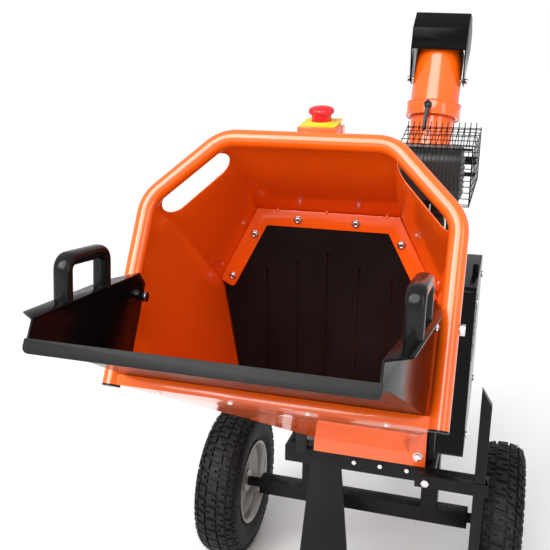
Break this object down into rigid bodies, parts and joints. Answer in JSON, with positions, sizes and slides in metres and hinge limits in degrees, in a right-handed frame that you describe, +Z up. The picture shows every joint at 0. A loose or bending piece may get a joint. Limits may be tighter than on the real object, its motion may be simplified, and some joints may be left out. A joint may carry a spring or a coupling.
{
  "type": "wood chipper",
  "caption": "Towable petrol wood chipper with a flared feed hopper, folding feed tray, rubber curtain, belt-driven drum and swivelling discharge chute on two wheels.",
  "frame": {"origin": "centre of the machine's footprint, on the ground", "axes": "+Z up, +Y away from the person who feeds the hopper, towards the tow coupling, +X to that person's right"},
  "size_m": [0.79, 1.7726, 1.4115],
  "materials": {
    "orange_paint": "gloss powder coat",
    "black_paint": "semi-gloss powder coat",
    "zinc": "bright zinc plate",
    "tool_steel": "ground",
    "black_plastic": "moulded",
    "curtain_rubber": "smooth",
    "belt_rubber": "smooth",
    "red_plastic": "moulded",
    "yellow_plastic": "moulded",
    "tyre_rubber": "moulded tread",
    "rim_paint": "silver paint",
    "engine_cast": "as cast",
    "iron": "painted",
    "drum_iron": "machined"
  },
  "bodies": {
    "machine": {"hopper_funnel": "orange_paint", "hopper_loop_tube": "orange_paint", "tube_end_caps": "black_plastic", "lower_cross_tube": "orange_paint", "curtain_flange": "orange_paint", "hopper_screws": "zinc", "curtain_header": "curtain_rubber", "infeed_chute": "orange_paint", "machine_fasteners": "zinc", "infeed_knob": "black_plastic", "estop_box": "orange_paint", "estop_plate": "yellow_plastic", "tray_pivot_bolts": "zinc", "rotor_housing": "orange_paint", "drum_bearings": "iron", "counter_knife": "tool_steel", "drive_belt": "belt_rubber", "guard_back_plate": "black_paint", "guard_cover": "black_paint", "engine_block": "engine_cast", "fan_housing": "black_plastic", "fuel_tank": "black_paint", "air_filter": "black_plastic", "muffler": "black_paint", "muffler_guard": "black_paint", "discharge_duct": "orange_paint", "chassis_frame": "black_paint", "wheel_axle": "black_paint", "drawbar": "black_paint", "tow_coupling": "black_paint", "hub_nuts": "zinc"},
    "tray": {"feed_tray": "black_paint", "tray_handles": "black_plastic"},
    "stop_button": {"estop_button": "red_plastic"},
    "drum": {"chipper_drum": "drum_iron", "drum_knives": "tool_steel", "drum_pulley": "iron"},
    "engine_shaft": {"crankshaft": "tool_steel", "engine_pulley": "iron"},
    "chute": {"swivel_chute": "orange_paint", "deflector_bolts": "zinc"},
    "clamp_lever": {"chute_lever": "black_plastic"},
    "deflector": {"chute_deflector": "black_paint"},
    "recoil": {"recoil_handle": "black_plastic"},
    "tank_cap": {"fuel_cap": "black_plastic"},
    "throttle": {"throttle_lever": "black_plastic"},
    "switch": {"engine_switch": "red_plastic"},
    "left_wheel": {"left_tyre": "tyre_rubber", "left_rim": "rim_paint"},
    "right_wheel": {"right_tyre": "tyre_rubber", "right_rim": "rim_paint"},
    "prop": {"side_prop": "black_paint"},
    "stand": {"rear_stand": "black_paint"},
    "latch": {"coupling_latch": "zinc"},
    "flap_1": {"curtain_flap_1": "curtain_rubber"},
    "flap_2": {"curtain_flap_2": "curtain_rubber"},
    "flap_3": {"curtain_flap_3": "curtain_rubber"},
    "flap_4": {"curtain_flap_4": "curtain_rubber"},
    "flap_5": {"curtain_flap_5": "curtain_rubber"},
    "flap_6": {"curtain_flap_6": "curtain_rubber"}
  },
  "joints": [
    {"name": "tray_fold", "type": "hinge", "parent": "machine", "child": "tray", "pos_m": [-0.04, -0.52177, 0.9161], "axis": [-1, 0, 0], "range_deg": [0, 66]},
    {"name": "flap_1_swing", "type": "hinge", "parent": "machine", "child": "flap_1", "pos_m": [-0.04, -0.19669, 0.848], "axis": [1, 0, 0], "range_deg": [-26, 3]},
    {"name": "flap_2_swing", "type": "hinge", "parent": "machine", "child": "flap_2", "pos_m": [-0.04, -0.19669, 0.886], "axis": [1, 0, 0], "range_deg": [-26, 3]},
    {"name": "flap_3_swing", "type": "hinge", "parent": "machine", "child": "flap_3", "pos_m": [-0.04, -0.19669, 0.908], "axis": [1, 0, 0], "range_deg": [-26, 3]},
    {"name": "flap_4_swing", "type": "hinge", "parent": "machine", "child": "flap_4", "pos_m": [-0.04, -0.19669, 0.905], "axis": [1, 0, 0], "range_deg": [-26, 3]},
    {"name": "flap_5_swing", "type": "hinge", "parent": "machine", "child": "flap_5", "pos_m": [-0.04, -0.19669, 0.884], "axis": [1, 0, 0], "range_deg": [-26, 3]},
    {"name": "flap_6_swing", "type": "hinge", "parent": "machine", "child": "flap_6", "pos_m": [-0.04, -0.19669, 0.848], "axis": [1, 0, 0], "range_deg": [-26, 3]},
    {"name": "stop_press", "type": "slide", "parent": "machine", "child": "stop_button", "axis": [0, 0, -1], "range_m": [0, 0.005], "stiffness_N_per_m": 1500},
    {"name": "drum_spin", "type": "hinge", "parent": "machine", "child": "drum", "pos_m": [-0.04, 0.02131, 0.59], "axis": [1, 0, 0], "continuous": true},
    {"name": "engine_spin", "type": "hinge", "parent": "machine", "child": "engine_shaft", "pos_m": [-0.04, 0.09131, 0.822], "axis": [1, 0, 0], "continuous": true},
    {"name": "chute_swivel", "type": "hinge", "parent": "machine", "child": "chute", "pos_m": [0.099, 0.35131, 1.16], "axis": [0.0336, 0.2754, 0.9607], "range_deg": [-170, 170]},
    {"name": "clamp_turn", "type": "hinge", "parent": "chute", "child": "clamp_lever", "pos_m": [0.09185, 0.29231, 1.19382], "axis": [0.0047, -0.9613, 0.2754], "range_deg": [-40, 40]},
    {"name": "deflector_tilt", "type": "hinge", "parent": "chute", "child": "deflector", "pos_m": [0.10213, 0.37693, 1.24935], "axis": [0.9994, -0.0047, -0.0336], "range_deg": [0, 40]},
    {"name": "recoil_pull", "type": "slide", "parent": "machine", "child": "recoil", "axis": [-1, 0, 0], "range_m": [0, 0.3], "stiffness_N_per_m": 30},
    {"name": "tank_cap_turn", "type": "hinge", "parent": "machine", "child": "tank_cap", "pos_m": [0.02, 0.13131, 1.107], "axis": [0, 0, 1], "range_deg": [0, 90]},
    {"name": "throttle_turn", "type": "hinge", "parent": "machine", "child": "throttle", "pos_m": [-0.06, 0.03931, 0.989], "axis": [0, 0, 1], "range_deg": [-35, 35]},
    {"name": "switch_turn", "type": "hinge", "parent": "machine", "child": "switch", "pos_m": [-0.116, 0.12131, 0.872], "axis": [1, 0, 0], "range_deg": [0, 60]},
    {"name": "left_wheel_spin", "type": "hinge", "parent": "machine", "child": "left_wheel", "pos_m": [-0.34, 0.10131, 0.2], "axis": [1, 0, 0], "continuous": true},
    {"name": "right_wheel_spin", "type": "hinge", "parent": "machine", "child": "right_wheel", "pos_m": [0.34, 0.10131, 0.2], "axis": [1, 0, 0], "continuous": true},
    {"name": "prop_slide", "type": "slide", "parent": "machine", "child": "prop", "axis": [0, 0, 1], "range_m": [-0.1, 0]},
    {"name": "stand_slide", "type": "slide", "parent": "machine", "child": "stand", "axis": [0, 0, 1], "range_m": [-0.15, 0]},
    {"name": "latch_lift", "type": "hinge", "parent": "machine", "child": "latch", "pos_m": [0.022, 0.84131, 0.461], "axis": [-1, 0, 0], "range_deg": [0, 50], "stiffness_Nm_per_rad": 0.5}
  ],
  "couplings": [
    {"joint": "engine_spin", "follows": "drum_spin", "ratio": 1.7453}
  ]
}
